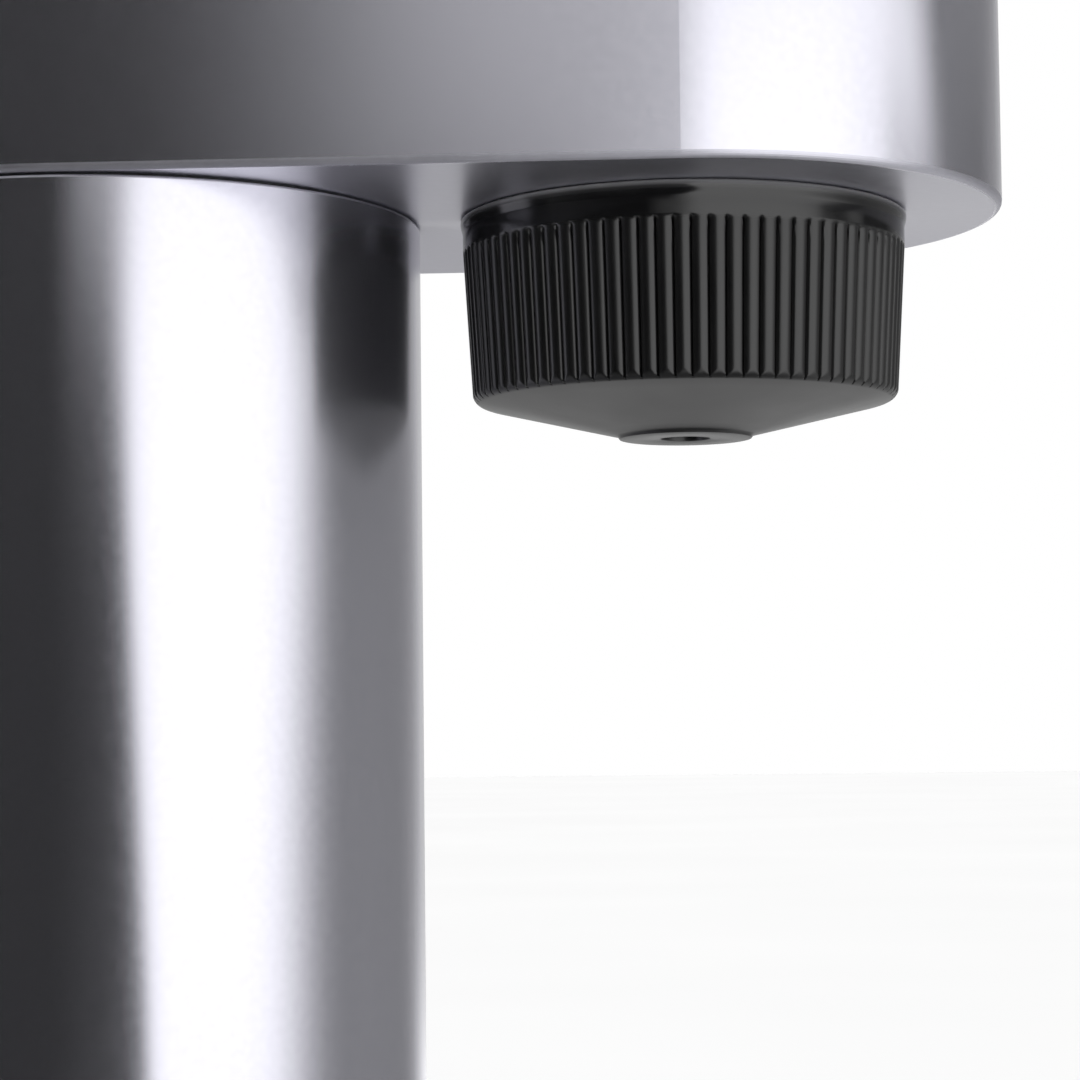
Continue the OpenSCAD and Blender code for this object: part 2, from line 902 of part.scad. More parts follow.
// Coil housing of the pump
module pump_coil() {
    color("firebrick")
        translate([pump_x, 0, 0])
            difference() {
                turned(coil_r, coil_z0, coil_z1, coil_edge, coil_edge);
                disc(barrel_r + slip / 2, coil_z0 - over, coil_z1 + over);
            }
}

// Barrel that the plunger runs in, with a nipple at each end
module pump_barrel() {
    color("goldenrod")
        translate([pump_x, 0, 0])
            difference() {
                union() {
                    disc(barrel_r, barrel_z0, barrel_z1);
                    disc(nipple_r, barrel_z0 - nipple_l, barrel_z1 + nipple_l);
                }
                disc(nipple_bore / 2, barrel_z0 - nipple_l - over, barrel_z1 + nipple_l + over);
                disc(bore_r - seat_w, bore_z0, plunger_z0 + over);
                disc(bore_r, plunger_z0, bore_z1);
            }
}

// Magnetic plunger of the pump
module pump_plunger() {
    color("gray")
        translate([pump_x, 0, 0])
            disc(plunger_d / 2, plunger_z0, plunger_z1, nipple_bore / 2);
}

// Return spring between the plunger and the end of the bore
module pump_spring() {
    rise = bore_z1 - plunger_z1 - spring_wire;
    mean_r = bore_r - spring_wire;
    steps = 10;
    sides = 6;
    rings = spring_turns * steps;
    points = [for (i = [0:rings], k = [0:sides - 1])
        let (a = i * 360 / steps, b = k * 360 / sides, r = mean_r + spring_wire / 2 * cos(b))
        [r * cos(a), r * sin(a), rise * i / rings + spring_wire / 2 * sin(b)]];
    walls = [for (i = [0:rings - 1], k = [0:sides - 1])
        let (n = (k + 1) % sides)
        [i * sides + k, (i + 1) * sides + k, (i + 1) * sides + n, i * sides + n]];
    first = [[for (k = [0:sides - 1]) k]];
    last = [[for (k = [sides - 1:-1:0]) rings * sides + k]];
    color("gray")
        translate([pump_x, 0, plunger_z1 + spring_wire / 2])
            polyhedron(points = points, faces = concat(walls, first, last));
}

// Rubber grommets that carry the pump in the chassis
module pump_mounts() {
    color("dimgray")
        translate([pump_x, 0, 0])
            for (z = [coil_z0 - 2 * grip_t - bracket_t, coil_z1])
                difference() {
                    union() {
                        disc(grip_r, z, z + 2 * grip_t + bracket_t);
                        disc(grip_r + grip_lip, z, z + grip_t);
                        disc(grip_r + grip_lip, z + grip_t + bracket_t, z + 2 * grip_t + bracket_t);
                    }
                    disc(barrel_r + slip / 2, z - over, z + 2 * grip_t + bracket_t + over);
                }
}

// Hose from the pump down, across and up to the valve
module pressure_hose_lower() {
    color("gray")
        translate([pump_x, 0, barrel_z0])
            rotate([0, 0, hose_turn_a])
                rotate([180, 0, 0])
                    hose_run(barrel_z0 - hose_low)
                        hose_turn()
                            hose_run(hose_span - 2 * hose_bend)
                                hose_turn()
                                    hose_run(valve_z - hose_low);
}

// Valve that keeps the pressure in the head
module check_valve() {
    color("goldenrod")
        at_riser()
            difference() {
                union() {
                    disc(valve_r, valve_z, valve_z + valve_l);
                    disc(nipple_r, valve_z - nipple_l, valve_z + valve_l + nipple_l);
                }
                disc(nipple_bore / 2, valve_z - nipple_l - over, valve_z + valve_l + nipple_l + over);
            }
}

// Hose from the valve up beside the tank and along the arm
module pressure_hose_upper() {
    z0 = valve_z + valve_l;
    color("gray")
        translate([riser_x, riser_y, z0])
            rotate([0, 0, fit_a + 180])
                hose_run(under_z + fit_z - hose_bend - z0)
                    hose_turn()
                        hose_run(fit_run - hose_bend - fit_d / 2 - air);
}

// Battery cells
module battery_cells() {
    color("steelblue")
        for (i = [-1:1])
            translate([cell_x, i * cell_pitch, 0]) {
                turned(cell_d / 2, cell_z0, cell_z1, cell_edge, cell_edge);
                disc(cell_d / 5, cell_z1 - bite, cell_z1 + cell_tip);
            }
}

// Tray that takes the ends of the cells, its floor at z 0
module cell_tray(floor_hole) {
    difference() {
        translate([cell_x, -cell_pitch, 0])
            rotate([0, 0, 90])
                stadium(cell_room, 2 * cell_pitch, 0, holder_h);
        for (i = [-1:1])
            translate([cell_x, i * cell_pitch, 0]) {
                disc(cell_d / 2 + slip, holder_t, holder_h + over);
                disc(floor_hole, -over, holder_t + over);
            }
    }
}

// Lower cell tray
module battery_holder_bottom() {
    color("dimgray")
        translate([0, 0, chassis_z])
            cell_tray(cell_d / 6);
}

// Upper cell tray
module battery_holder_top() {
    color("dimgray")
        translate([0, 0, cell_z1 + holder_t])
            mirror([0, 0, 1])
                cell_tray(cell_d / 4);
}

// Main circuit board
module main_board() {
    color("darkgreen")
        translate([board_x - board_t, -board_w / 2, chassis_z])
            cube([board_t, board_w, board_h]);
}

// Larger components on the main board
module board_components() {
    color("dimgray") {
        translate([board_x, -board_w / 3, chassis_z + board_h * 0.85])
            cube([chip_h, board_w / 4, board_w / 4]);
        translate([board_x, board_w / 12, chassis_z + board_h * 0.88])
            cube([chip_h, board_w / 4, board_w / 5]);
        translate([port_x0 - chip_h, -board_w / 4, chassis_z + board_h * 0.6])
            cube([chip_h, board_w / 2, board_w / 2]);
        translate([port_x0, 0, chassis_z + board_h * 0.4])
            rotate([0, -90, 0])
                disc(board_w / 8, 0, chip_h);
    }
}

// Charging socket on the main board
module charge_socket() {
    color("silver")
        translate([0, 0, port_z]) {
            difference() {
                slot_bar(port_w, port_h, port_x1, port_x0);
                slot_bar(port_w - 2 * port_wall, port_h - 2 * port_wall, port_x1 - over, port_x0 - over);
            }
            translate([port_x1 + port_inset, -port_w * 0.35, -tongue_t / 2])
                cube([port_x0 - port_x1 - port_inset - bite, port_w * 0.7, tongue_t]);
        }
}

// Plastic frame round the socket, flush with the column
module port_bezel() {
    rear_w = bezel_w + 2 * bezel_rim;
    rear_h = bezel_h + 2 * bezel_rim;
    color("black")
        translate([0, 0, port_z])
            difference() {
                union() {
                    intersection() {
                        slot_bar(bezel_w, bezel_h, -column_r - over, over - column_in);
                        disc(column_r, -port_w, port_w);
                    }
                    slot_bar(rear_w, rear_h, bezel_back / 2 - column_in, bezel_back - column_in);
                    slot_bar(bezel_w, bezel_h, -column_in, bezel_back - column_in);
                }
                slot_bar(port_w + 2 * slip, port_h + 2 * slip, -column_r - over, over - column_in / 2);
            }
}

// Small board under the button
module button_board() {
    color("darkgreen")
        translate([reach, 0, small_board_z - board_t])
            difference() {
                translate([-small_board_w / 2, -small_board_l / 2, 0])
                    cube([small_board_w, small_board_l, board_t]);
                around(board_post, [90, 270])
                    disc(screw_d / 2 + slip, -over, board_t + over);
            }
}

// Switch under the button
module button_switch() {
    color("black")
        translate([reach, 0, small_board_z])
            difference() {
                translate([-switch_w / 2, -switch_w / 2, 0])
                    cube([switch_w, switch_w, switch_h]);
                disc(switch_r + switch_clear, switch_floor, switch_h + over);
            }
}

// Plate with a slot that takes one pump mount from the side
module pump_bracket(z) {
    difference() {
        translate([spine_x0 + over, -bracket_w / 2, z])
            cube([pump_x + bracket_past - spine_x0, bracket_w, bracket_t]);
        translate([pump_x, 0, 0])
            disc(grip_r, z - over, z + bracket_t + over);
        translate([pump_x, bracket_lip - grip_r, z - over])
            cube([2 * grip_r, 2 * (grip_r - bracket_lip), bracket_t + 2 * over]);
    }
}

// Inner frame: floor, spine, deck, pillars, pump brackets and board rails
module chassis() {
    rail_y = board_w / 2 - rail_grip;
    window = 16;
    window_rim = 10;
    color("dimgray")
        difference() {
            union() {
                disc(chassis_r, base_top, chassis_z);
                disc(chassis_r, deck_z0, deck_z1);
                translate([spine_x0, -spine_w / 2, chassis_z - bite])
                    cube([spine_t, spine_w, deck_z0 - chassis_z + 2 * bite]);
                around(ring_r, corner_angles)
                    disc(pillar_d / 2, deck_z1 - bite, neck_z);
                pump_bracket(coil_z0 - grip_t - bracket_t);
                pump_bracket(coil_z1 + grip_t);
                for (side = [0, 1])
                    mirror([0, side, 0])
                        translate([port_x0 - rail_t / 2, rail_y, chassis_z - bite])
                            cube([board_t + rail_t, rail_t + rail_grip, board_h * 0.7]);
            }
            translate([port_x0 - slip, -board_w / 2 - slip, chassis_z])
                cube([board_t + 2 * slip, board_w + 2 * slip, board_h]);
            for (side = [-1, 1])
                translate([spine_x0 - over, side * spine_w / 4 - window / 2, cell_z0 + window_rim])
                    cube([spine_t + 2 * over, window, cell_l - 2 * window_rim]);
            around(ring_r, corner_angles)
                disc(screw_d / 2, neck_z - pillar_thread - drill_tip, neck_z + over);
            around(base_screw_r, corner_angles)
                disc(screw_d / 2, base_top - over, base_top + base_thread + slip);
            translate([pump_x, 0, 0])
                disc(hose_r + air, deck_z0 - over, deck_z1 + over);
            at_riser()
                disc(hose_r + slip, deck_z0 - over, deck_z1 + over);
        }
}

// Screws under the pad that hold the base plate
module base_screws() {
    seat_z = pad_t + air + head_h;
    color("gray")
        around(base_screw_r, corner_angles)
            translate([0, 0, seat_z])
                mirror([0, 0, 1])
                    screw(base_top + base_thread - seat_z);
}

// Screws that hold the arm on the chassis
module neck_screws() {
    color("gray")
        around(ring_r, corner_angles)
            translate([0, 0, floor_z])
                screw(floor_z - neck_z + pillar_thread);
}

// Screws that hold the cover, from under the neck ring
module cover_screws() {
    color("gray")
        around(ring_r, post_angles)
            translate([0, 0, neck_z + head_recess])
                mirror([0, 0, 1])
                    screw(floor_z - neck_z - head_recess + post_thread);
}

// Screws that hold the brewing group
module collar_screws() {
    color("gray")
        at_brew()
            around(collar_screw_r, corner_angles)
                translate([0, 0, group_top])
                    screw(2 * flange_t + collar_thread);
}

// Screws that hold the small board
module board_screws() {
    color("gray")
        translate([reach, 0, small_board_z - board_t])
            around(board_post, [90, 270])
                mirror([0, 0, 1])
                    screw(board_t + board_thread);
}

arm_shell();
arm_top_cover();
column_shell();
neck_ring();
base_plate();
base_pad();
tank_lid();
lid_seal();
lid_hinge_pin();
power_button();
switch_plunger();
light_ring();
portafilter_cap();
filter_basket();
group_collar();
group_block();
group_gasket();
shower_screen();
shower_screw();
group_fitting();
water_tank();
tank_gasket();
heater_plate();
heater_standoffs();
thermostat();
inlet_hose();
pump_coil();
pump_barrel();
pump_plunger();
pump_spring();
pump_mounts();
pressure_hose_lower();
check_valve();
pressure_hose_upper();
battery_cells();
battery_holder_bottom();
battery_holder_top();
main_board();
board_components();
charge_socket();
port_bezel();
button_board();
button_switch();
chassis();
base_screws();
neck_screws();
cover_screws();
collar_screws();
board_screws();
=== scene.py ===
import json
import math

import bmesh
import bpy
from mathutils import Matrix, Vector


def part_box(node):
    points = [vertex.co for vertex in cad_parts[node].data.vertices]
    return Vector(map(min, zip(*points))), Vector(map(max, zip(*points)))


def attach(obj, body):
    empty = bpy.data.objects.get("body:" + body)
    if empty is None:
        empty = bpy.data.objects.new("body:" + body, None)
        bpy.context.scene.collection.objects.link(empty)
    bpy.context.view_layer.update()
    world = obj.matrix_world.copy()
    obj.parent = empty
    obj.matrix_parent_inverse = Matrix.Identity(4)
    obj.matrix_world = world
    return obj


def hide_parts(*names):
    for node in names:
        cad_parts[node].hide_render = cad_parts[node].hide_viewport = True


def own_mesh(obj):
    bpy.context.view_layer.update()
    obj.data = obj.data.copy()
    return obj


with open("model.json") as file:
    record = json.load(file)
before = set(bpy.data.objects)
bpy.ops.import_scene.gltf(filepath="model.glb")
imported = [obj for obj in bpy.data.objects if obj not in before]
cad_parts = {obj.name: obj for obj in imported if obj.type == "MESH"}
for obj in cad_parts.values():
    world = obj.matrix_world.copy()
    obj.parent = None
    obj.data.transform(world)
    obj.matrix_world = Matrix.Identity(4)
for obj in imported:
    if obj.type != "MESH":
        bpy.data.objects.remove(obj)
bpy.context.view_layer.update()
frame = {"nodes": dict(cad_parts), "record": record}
nodes = frame["nodes"]
record = frame["record"]

MM = 0.001

# Sizes shared with the CAD part, in millimetres
UNDER = 172.0
REACH = 81.25
CAP_R = 31.0
FOOT_R = 29.8
CAP_GAP = 0.1
BEAD_W = 0.3
BEAD_ROUND = 0.45
FLARE_TOP = 0.6
FLARE_H = 1.5
BAND_Z = -4.6
FOOT_Z = -24.5
FOOT_ROUND = 1.6
RIBS = 82
GROOVE_DEPTH = 0.8
RIB_START = 0.08
RIB_CROWN = 0.58
RIB_RUN_IN = 0.7
RIB_ROW_STEP = 1.6
CONE_R = 28.614
CONE_Z = -26.046
NOZZLE_R = 9.5
NOZZLE_Z0 = -30.596
NOZZLE_Z1 = -31.096
OUTLET_R = 3.4
THREAD_R = 28.4
SHOULDER_Z = -9.4
BORE_R = 26.5
WELL_Z0 = -23.946
WELL_Z1 = -28.996
SPRING_WIRE = 0.9
SPRING_TURNS = 7

# How finely round forms are divided
BEAD_STEPS = 6
FLARE_STEPS = 6
FOOT_STEPS = 12
CROWN_STEPS = 5
COIL_STEPS = 24
WIRE_SIDES = 10
SHARP_CAP = 38.0
SHARP_SPRING = 60.0

# Camera fitted to the photo: place in millimetres, turns in radians
CAMERA_AT = (82.231, -403.786, 100.292)
CAMERA_YAW, CAMERA_PITCH, CAMERA_ROLL = -0.0534, 0.066, -0.0105
CAMERA_LENS = 96.263
CAMERA_SENSOR = 36.0

# Stage, in metres and degrees
FLOOR_HALF = 6.0
FLOOR_DROP = 0.0001
CARD_X = (-0.22, 0.77)
CARD_Z = (-0.05, 0.75)
CARD_AT = (0.040, -0.380, 0.0)
CARD_TURN = 41.2
CARD_LEVEL = 1.75
STRIP_LEVEL = 0.04
LOW_LEVEL = 0.65
FOOT_LEVEL = 0.20
DOME_LEVEL = 1.6

# Part of a noise's range that colours and roughness are spread over
NOISE_LOW, NOISE_HIGH = 0.3, 0.7
GRAIN_MM = 0.02


# Materials

def new_material(name):
    mat = bpy.data.materials.new(name)
    mat.use_nodes = True
    nt = mat.node_tree
    bsdf = next(n for n in nt.nodes if n.type == "BSDF_PRINCIPLED")
    return mat, nt, bsdf


def object_coords(nt):
    return nt.nodes.new("ShaderNodeTexCoord").outputs["Object"]


def noise(nt, scale, detail=2.0, rough=0.5, stretch=None):
    co = object_coords(nt)
    if stretch:
        mp = nt.nodes.new("ShaderNodeMapping")
        mp.inputs["Scale"].default_value = stretch
        nt.links.new(co, mp.inputs["Vector"])
        co = mp.outputs["Vector"]
    n = nt.nodes.new("ShaderNodeTexNoise")
    n.inputs["Scale"].default_value = scale
    n.inputs["Detail"].default_value = detail
    n.inputs["Roughness"].default_value = rough
    nt.links.new(co, n.inputs["Vector"])
    return n.outputs["Fac"]


def ramp(nt, fac, low, high):
    """Colour that a noise takes from low to high."""
    r = nt.nodes.new("ShaderNodeValToRGB")
    r.color_ramp.elements[0].position = NOISE_LOW
    r.color_ramp.elements[1].position = NOISE_HIGH
    r.color_ramp.elements[0].color = (*low, 1.0)
    r.color_ramp.elements[1].color = (*high, 1.0)
    nt.links.new(fac, r.inputs["Fac"])
    return r.outputs["Color"]


def spread(nt, fac, low, high):
    """Value that a noise takes from low to high."""
    m = nt.nodes.new("ShaderNodeMapRange")
    m.inputs["From Min"].default_value = NOISE_LOW
    m.inputs["From Max"].default_value = NOISE_HIGH
    m.inputs["To Min"].default_value = low
    m.inputs["To Max"].default_value = high
    nt.links.new(fac, m.inputs["Value"])
    return m.outputs["Result"]


def math_node(nt, kind, a, b=None):
    n = nt.nodes.new("ShaderNodeMath")
    n.operation = kind
    for socket, value in zip(n.inputs, (a, b)):
        if isinstance(value, (int, float)):
            socket.default_value = value
        elif value is not None:
            nt.links.new(value, socket)
    return n.outputs["Value"]


def map_range(nt, value, f0, f1, t0, t1, smooth=True):
    n = nt.nodes.new("ShaderNodeMapRange")
    n.interpolation_type = "SMOOTHSTEP" if smooth else "LINEAR"
    for key, v in (("From Min", f0), ("From Max", f1), ("To Min", t0), ("To Max", t1)):
        n.inputs[key].default_value = v
    nt.links.new(value, n.inputs["Value"])
    return n.outputs["Result"]


def curve(nt, value, stops):
    """Value read off a line through the stops, each (at, level)."""
    first, last = stops[0][0], stops[-1][0]
    node = nt.nodes.new("ShaderNodeValToRGB")
    elements = node.color_ramp.elements
    while len(elements) < len(stops):
        elements.new(0.5)
    for e, (at, level) in zip(elements, stops):
        e.position = (at - first) / (last - first)
        e.color = (level, level, level, 1.0)
    nt.links.new(map_range(nt, value, first, last, 0.0, 1.0, smooth=False), node.inputs["Fac"])
    return node.outputs["Color"]


def bump(nt, bsdf, height, strength, distance):
    b = nt.nodes.new("ShaderNodeBump")
    b.inputs["Strength"].default_value = strength
    b.inputs["Distance"].default_value = distance
    nt.links.new(height, b.inputs["Height"])
    nt.links.new(b.outputs["Normal"], bsdf.inputs["Normal"])


def surface(name, low, high, metallic, rough, tone_scale, grain_scale, grain, stretch=None):
    """A material whose colour, roughness and fine relief all come from noise."""
    mat, nt, bsdf = new_material(name)
    tone = noise(nt, tone_scale, 3.0, 0.55, stretch)
    nt.links.new(ramp(nt, tone, low, high), bsdf.inputs["Base Color"])
    nt.links.new(spread(nt, tone, rough[0], rough[1]), bsdf.inputs["Roughness"])
    bump(nt, bsdf, noise(nt, grain_scale, 2.0, 0.6, stretch), grain, GRAIN_MM * MM)
    bsdf.inputs["Metallic"].default_value = metallic
    return mat


def satin_surface():
    """Satin metal with a fine grain, blunter on rounded edges, on the underside and most of all on top."""
    mat = surface("satin_metal", (0.605, 0.60, 0.665), (0.635, 0.63, 0.695), 0.955, (0.21, 0.23),
                  800.0, 5200.0, 0.10)
    nt = mat.node_tree
    bsdf = next(n for n in nt.nodes if n.type == "BSDF_PRINCIPLED")
    sep = nt.nodes.new("ShaderNodeSeparateXYZ")
    nt.links.new(nt.nodes.new("ShaderNodeTexCoord").outputs["Normal"], sep.inputs["Vector"])
    lean = math_node(nt, "ABSOLUTE", sep.outputs["Z"])
    blunt = curve(nt, lean, [
        (0.0, 0.0), (0.03, 0.0), (0.10, 0.25), (0.92, 0.25), (0.985, 0.0), (1.0, 0.0)])
    plain = bsdf.inputs["Roughness"].links[0].from_socket
    under = map_range(nt, sep.outputs["Z"], -0.985, -0.999, 0.0, 0.10)
    blunt = math_node(nt, "ADD", blunt, under)
    over = map_range(nt, sep.outputs["Z"], 0.985, 0.999, 0.0, 0.24)
    blunt = math_node(nt, "ADD", blunt, over)
    nt.links.new(math_node(nt, "ADD", plain, blunt), bsdf.inputs["Roughness"])
    tangent = nt.nodes.new("ShaderNodeTangent")
    tangent.direction_type = "RADIAL"
    tangent.axis = "Z"
    nt.links.new(tangent.outputs["Tangent"], bsdf.inputs["Tangent"])
    bsdf.inputs["Anisotropic"].default_value = 0.6
    bsdf.inputs["Anisotropic Rotation"].default_value = 0.25
    return mat


def cap_surface():
    """Black plastic, satin on the ribs, glossier on the smooth band above them, with a pale line painted
    along the top rim as a highlight.
    """
    mat, nt, bsdf = new_material("black_gloss")
    tone = noise(nt, 90.0, 3.0, 0.55)
    sep = nt.nodes.new("ShaderNodeSeparateXYZ")
    nt.links.new(object_coords(nt), sep.inputs["Vector"])
    rim = (UNDER - CAP_GAP) * MM
    # Painted highlight: the base colour turns pale grey in a thin line at the top rim, standing in for
    # light caught on the rim's edge.
    painted_rim_highlight = curve(nt, sep.outputs["Z"], [
        (rim - 2 * MM, 0.0), (rim - 1.3 * MM, 0.0), (rim - 0.8 * MM, 0.1),
        (rim - 0.45 * MM, 0.5), (rim, 1.0)])
    paint = nt.nodes.new("ShaderNodeMix")
    paint.data_type = "RGBA"
    nt.links.new(painted_rim_highlight, paint.inputs["Factor"])
    nt.links.new(ramp(nt, tone, (0.006, 0.006, 0.0065), (0.009, 0.009, 0.0095)), paint.inputs[6])
    nt.links.new(ramp(nt, tone, (0.26, 0.26, 0.265), (0.32, 0.32, 0.325)), paint.inputs[7])
    nt.links.new(paint.outputs[2], bsdf.inputs["Base Color"])
    edge = (UNDER + BAND_Z) * MM
    gloss = map_range(nt, sep.outputs["Z"], edge - 0.0006, edge + 0.0002, 0.0, -0.19)
    nt.links.new(math_node(nt, "ADD", spread(nt, tone, 0.30, 0.35), gloss), bsdf.inputs["Roughness"])
    bsdf.inputs["Specular IOR Level"].default_value = 0.6
    bump(nt, bsdf, noise(nt, 3000.0, 2.0, 0.6), 0.05, GRAIN_MM * MM)
    return mat


MATERIALS = {
    "satin_metal": satin_surface(),
    "black_gloss": cap_surface(),
    "black_matte": surface("black_matte", (0.014, 0.014, 0.015), (0.022, 0.022, 0.023), 0.0, (0.50, 0.60),
                           120.0, 4000.0, 0.12),
    "black_rubber": surface("black_rubber", (0.016, 0.016, 0.016), (0.024, 0.024, 0.024), 0.0, (0.75, 0.88),
                            150.0, 2500.0, 0.25),
    "grey_silicone": surface("grey_silicone", (0.42, 0.42, 0.43), (0.50, 0.50, 0.51), 0.0, (0.48, 0.60),
                             90.0, 2500.0, 0.08),
    "steel": surface("steel", (0.62, 0.62, 0.63), (0.70, 0.70, 0.71), 1.0, (0.18, 0.28),
                     300.0, 2200.0, 0.08, stretch=(1.0, 1.0, 6.0)),
    "dark_steel": surface("dark_steel", (0.20, 0.20, 0.205), (0.30, 0.30, 0.31), 1.0, (0.30, 0.42),
                          300.0, 2500.0, 0.10),
    "brass": surface("brass", (0.60, 0.43, 0.17), (0.72, 0.53, 0.25), 1.0, (0.22, 0.34),
                     220.0, 2600.0, 0.08),
    "cast_alloy": surface("cast_alloy", (0.50, 0.50, 0.51), (0.60, 0.60, 0.61), 1.0, (0.36, 0.48),
                          160.0, 1800.0, 0.20),
    "ceramic": surface("ceramic", (0.74, 0.72, 0.68), (0.82, 0.81, 0.78), 0.0, (0.28, 0.40),
                       180.0, 1500.0, 0.06),
    "light_pipe": surface("light_pipe", (0.78, 0.81, 0.84), (0.86, 0.88, 0.90), 0.0, (0.30, 0.42),
                          200.0, 1600.0, 0.05),
    "cell_wrap": surface("cell_wrap", (0.02, 0.09, 0.26), (0.03, 0.12, 0.32), 0.0, (0.28, 0.40),
                         120.0, 1400.0, 0.05),
    "board": surface("board", (0.008, 0.10, 0.035), (0.014, 0.15, 0.055), 0.0, (0.32, 0.48),
                     500.0, 2600.0, 0.10),
    "coil_red": surface("coil_red", (0.24, 0.025, 0.018), (0.32, 0.04, 0.03), 0.0, (0.40, 0.52),
                        150.0, 1700.0, 0.10),
}

slot_of = {part["node"]: part["material_slot"] for part in record["subparts"]}
for name, obj in nodes.items():
    obj.data.materials.clear()
    obj.data.materials.append(MATERIALS[slot_of[name]])


# Brewing cap with soft-edged ribs

def rib_shape(t):
    """How deep the surface lies at t, a fraction of the pitch away from the groove's middle."""
    def crown(at):
        return RIB_CROWN * (1.0 - 2.0 * at) ** 2

    if t >= RIB_START:
        return crown(t)
    return 1.0 + (crown(RIB_START) - 1.0) * t / RIB_START


def arc(cx, cz, r, a0, a1, count):
    """Points on an arc, angles in degrees."""
    out = []
    for i in range(count + 1):
        a = math.radians(a0 + (a1 - a0) * i / count)
        out.append((cx + r * math.cos(a), cz + r * math.sin(a)))
    return out


def smooth_by_angle(mesh, degrees):
    for p in mesh.polygons:
        p.use_smooth = True
    mesh.set_sharp_from_angle(angle=math.radians(degrees))


def mesh_object(name, verts, faces, slot, angle):
    """Object from points in millimetres, with sharp edges where faces meet at more than the angle."""
    mesh = bpy.data.meshes.new(name)
    mesh.from_pydata([Vector(v) * MM for v in verts], [], faces)
    bm = bmesh.new()
    bm.from_mesh(mesh)
    bmesh.ops.remove_doubles(bm, verts=bm.verts, dist=1e-7)
    bmesh.ops.recalc_face_normals(bm, faces=bm.faces)
    bm.to_mesh(mesh)
    bm.free()
    smooth_by_angle(mesh, angle)
    obj = bpy.data.objects.new(name, mesh)
    bpy.context.scene.collection.objects.link(obj)
    obj.data.materials.append(MATERIALS[slot])
    return obj


def cap_rows():
    """Outline of the cap as rows of radius and height under the arm, down the outside and up the inside."""
    draft = (CAP_R - FOOT_R) / (BAND_Z - FOOT_Z)
    slope = (CONE_Z - NOZZLE_Z0) / (CONE_R - NOZZLE_R)
    bead_r = CAP_R + BEAD_W
    rows = [(THREAD_R, -CAP_GAP), (bead_r - 0.5, -CAP_GAP)]
    rows += arc(bead_r - BEAD_ROUND, -CAP_GAP - BEAD_ROUND, BEAD_ROUND, 80, 0, BEAD_STEPS)
    for k in range(FLARE_STEPS + 1):
        flare = 0.5 + 0.5 * math.cos(math.pi * k / FLARE_STEPS)
        rows.append((CAP_R + BEAD_W * flare, -CAP_GAP - FLARE_TOP - FLARE_H * k / FLARE_STEPS))
    rows += [(CAP_R, BAND_Z + rise) for rise in (1.6, 0.9, 0.05, 0.0, -0.1, -0.22, -0.36, -0.5, -0.7)]
    z = BAND_Z - 1.2
    while z > FOOT_Z + 0.8:
        rows.append((CAP_R, z))
        z -= RIB_ROW_STEP
    rows = [(r - draft * (BAND_Z - z), z) if r == CAP_R and z < BAND_Z else (r, z) for r, z in rows]
    rows += arc(FOOT_R - FOOT_ROUND, FOOT_Z, FOOT_ROUND, 0, -75, FOOT_STEPS)
    rows += [(r, CONE_Z - (CONE_R - r) * slope) for r in (26.0, 18.0, 12.0)]
    rows += [(NOZZLE_R + 0.3, NOZZLE_Z0 + 0.08), (NOZZLE_R + 0.05, NOZZLE_Z0 - 0.02)]
    rows += [(NOZZLE_R - 0.1, NOZZLE_Z0 - 0.25)]
    rows += [(NOZZLE_R - 0.25, NOZZLE_Z1 + 0.05), (NOZZLE_R - 0.45, NOZZLE_Z1)]
    rows += [(OUTLET_R + 0.3, NOZZLE_Z1), (OUTLET_R + 0.08, NOZZLE_Z1 + 0.08), (OUTLET_R, NOZZLE_Z1 + 0.3)]
    rows += [(OUTLET_R, WELL_Z1), (BORE_R, WELL_Z0), (BORE_R, SHOULDER_Z), (THREAD_R, SHOULDER_Z)]
    return rows, draft


def build_cap():
    """Cap in one closed skin, with ribs cut into the rows between the band and the foot."""
    rows, draft = cap_rows()
    half_rib = [RIB_START + k * (0.5 - RIB_START) / CROWN_STEPS for k in range(CROWN_STEPS + 1)]
    per_rib = [-t for t in reversed(half_rib[:-1])] + [0.0] + half_rib
    columns = []
    for i in range(RIBS):
        columns += [((i + t) * 2 * math.pi / RIBS, rib_shape(abs(t))) for t in per_rib]

    def ramp_in(z):
        t = min(1.0, max(0.0, (BAND_Z - z) / RIB_RUN_IN))
        return t * t * (3.0 - 2.0 * t)

    verts = []
    for r, z in rows:
        ribbed = BAND_Z >= z >= FOOT_Z - FOOT_ROUND and r > FOOT_R - FOOT_ROUND
        wall = CAP_R - draft * (BAND_Z - z)
        for a, depth in columns:
            rr = min(r, wall - GROOVE_DEPTH * depth * ramp_in(z)) if ribbed else r
            verts.append((REACH + rr * math.cos(a), rr * math.sin(a), UNDER + z))
    n, m = len(columns), len(rows)
    faces = []
    for j in range(m):
        k = (j + 1) % m
        for i in range(n):
            h = (i + 1) % n
            faces.append((j * n + i, k * n + i, k * n + h, j * n + h))
    return mesh_object("cap_ribbed", verts, faces, "black_gloss", SHARP_CAP)


cap = build_cap()
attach(cap, "cap")
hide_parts("portafilter_cap")


